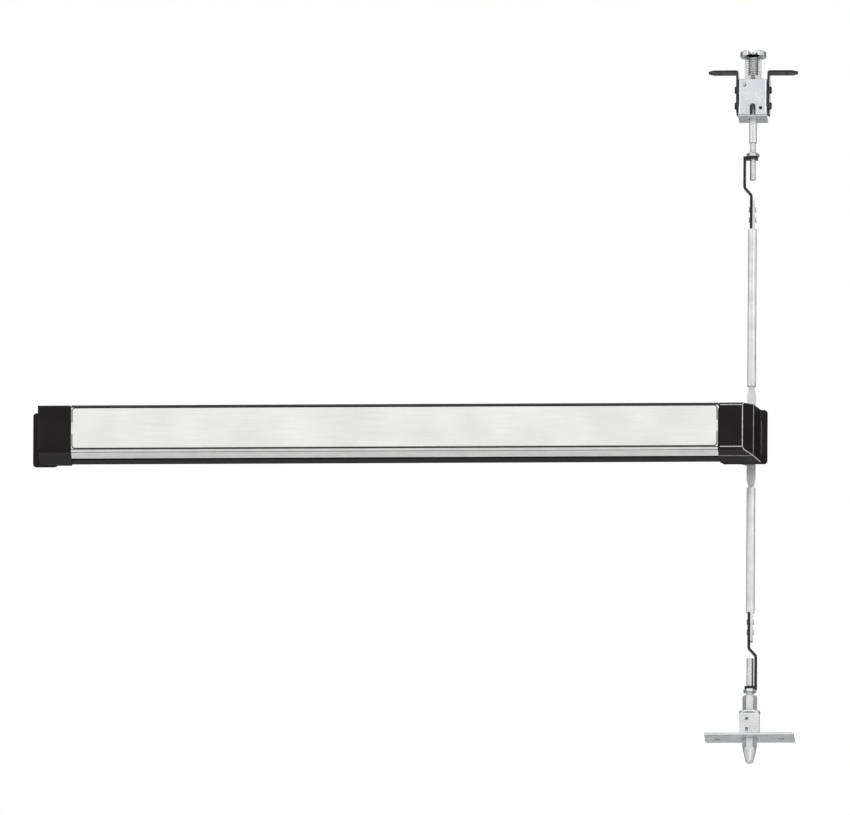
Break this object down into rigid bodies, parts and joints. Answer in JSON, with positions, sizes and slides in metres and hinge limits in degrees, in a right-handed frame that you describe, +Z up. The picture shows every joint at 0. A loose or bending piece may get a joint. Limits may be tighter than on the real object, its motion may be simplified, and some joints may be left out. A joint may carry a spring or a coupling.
{
  "type": "concealed vertical rod exit device",
  "caption": "Push-bar exit device for a door: pressing the long touch pad turns cranks and levers, drops the top rod to tilt the slotted head latch and lifts the bottom bolt.",
  "frame": {"origin": "on the door face, level with the bar's middle and straight in front of the rods", "axes": "+X along the bar towards the lock edge, +Y into the door, +Z up"},
  "size_m": [0.8694, 0.1022, 0.833],
  "materials": {
    "black_rail": "black anodised extrusion",
    "black_cap": "black moulded shell, fine grain",
    "black_plate": "black powder-coated steel",
    "pad_metal": "satin clear-anodised",
    "pad_plate": "brushed along the bar",
    "zinc_steel": "bright zinc plate",
    "rod_steel": "bright drawn steel",
    "dark_steel": "black-oxide steel",
    "spring_steel": "oiled spring wire",
    "bronze": "sintered bronze"
  },
  "bodies": {
    "housing": {"base_rail": "black_rail", "rail_rivets": "zinc_steel", "rail_connector_left": "zinc_steel", "rail_connector_right": "zinc_steel", "hinge_end_bracket": "black_plate", "hinge_end_cap": "black_cap", "cap_screws": "dark_steel", "active_base": "black_plate", "lever_bushes": "bronze", "active_cover": "black_cap", "cover_screws": "dark_steel", "lever_bracket": "zinc_steel", "rear_frame": "zinc_steel", "crank_bracket_left": "zinc_steel", "crank_bracket_right": "zinc_steel", "crank_pivot_pins": "zinc_steel", "spring_anchor": "zinc_steel", "latch_case": "zinc_steel", "latch_case_back": "zinc_steel", "top_bracket_left": "dark_steel", "top_bracket_right": "dark_steel", "latch_rivets": "dark_steel", "pivot_rivets": "dark_steel", "base_plate": "zinc_steel", "guide_bracket": "zinc_steel", "guide_collar": "zinc_steel"},
    "pad": {"touch_pad": "pad_metal", "pad_face_plate": "pad_plate", "pad_carrier_left": "zinc_steel", "pad_carrier_right": "zinc_steel", "pad_pins": "zinc_steel"},
    "left_crank": {"crank_left": "zinc_steel"},
    "right_crank": {"crank_right": "zinc_steel"},
    "pull_strip": {"pull_rod": "zinc_steel", "lift_yoke": "zinc_steel", "yoke_rivets": "zinc_steel", "return_spring": "spring_steel"},
    "upper_lever": {"upper_lever_shaft": "zinc_steel", "upper_drive_arm": "zinc_steel", "upper_lift_arm": "zinc_steel"},
    "lower_lever": {"lower_lever_shaft": "zinc_steel", "lower_drive_arm": "zinc_steel", "lower_lift_arm": "zinc_steel"},
    "upper_rod_set": {"upper_rod": "rod_steel", "upper_strap": "dark_steel", "upper_strap_rivets": "zinc_steel", "upper_threaded_rod": "rod_steel", "upper_lock_nut": "zinc_steel", "upper_sleeve": "rod_steel", "cam_shoe": "zinc_steel"},
    "latch_head": {"yoke": "zinc_steel", "tail_pin": "zinc_steel", "head_bolt": "rod_steel"},
    "lower_rod_set": {"lower_rod": "rod_steel", "lower_strap": "dark_steel", "lower_strap_rivets": "zinc_steel", "lower_threaded_rod": "rod_steel", "lower_lock_nut": "zinc_steel", "bottom_bolt": "rod_steel", "stop_pin": "zinc_steel"}
  },
  "joints": [
    {"name": "pad_press", "type": "slide", "parent": "housing", "child": "pad", "axis": [0, 1, 0], "range_m": [0, 0.014], "stiffness_N_per_m": 1500, "springref_m": -0.02},
    {"name": "left_crank_turn", "type": "hinge", "parent": "housing", "child": "left_crank", "pos_m": [-0.64, -0.0155, -0.0035], "axis": [0, 0, -1], "range_deg": [0, 31.9]},
    {"name": "right_crank_turn", "type": "hinge", "parent": "housing", "child": "right_crank", "pos_m": [-0.19, -0.0155, -0.0035], "axis": [0, 0, -1], "range_deg": [0, 31.9]},
    {"name": "strip_pull", "type": "slide", "parent": "housing", "child": "pull_strip", "axis": [-1, 0, 0], "range_m": [0, 0.0088], "deforming": ["return_spring"]},
    {"name": "upper_lever_turn", "type": "hinge", "parent": "housing", "child": "upper_lever", "pos_m": [-0.0195, 0, 0.019], "axis": [0, 1, 0], "range_deg": [0, 34.92]},
    {"name": "lower_lever_turn", "type": "hinge", "parent": "housing", "child": "lower_lever", "pos_m": [-0.0195, 0, -0.019], "axis": [0, -1, 0], "range_deg": [0, 34.92]},
    {"name": "upper_rod_drop", "type": "slide", "parent": "housing", "child": "upper_rod_set", "axis": [0, 0, -1], "range_m": [0, 0.012]},
    {"name": "lower_rod_lift", "type": "slide", "parent": "housing", "child": "lower_rod_set", "axis": [0, 0, 1], "range_m": [0, 0.012]},
    {"name": "head_tilt", "type": "hinge", "parent": "housing", "child": "latch_head", "pos_m": [0, 0.022, 0.4125], "axis": [1, 0, 0], "range_deg": [0, 15]}
  ],
  "couplings": [
    {"joint": "left_crank_turn", "follows": "pad_press", "rad_per_m": 39.757},
    {"joint": "right_crank_turn", "follows": "pad_press", "rad_per_m": 39.757},
    {"joint": "strip_pull", "follows": "pad_press", "ratio": 0.62793},
    {"joint": "upper_lever_turn", "follows": "pad_press", "rad_per_m": 43.528},
    {"joint": "lower_lever_turn", "follows": "pad_press", "rad_per_m": 43.528},
    {"joint": "upper_rod_drop", "follows": "pad_press", "ratio": 0.85714},
    {"joint": "lower_rod_lift", "follows": "pad_press", "ratio": 0.85714},
    {"joint": "head_tilt", "follows": "pad_press", "rad_per_m": 18.7}
  ]
}
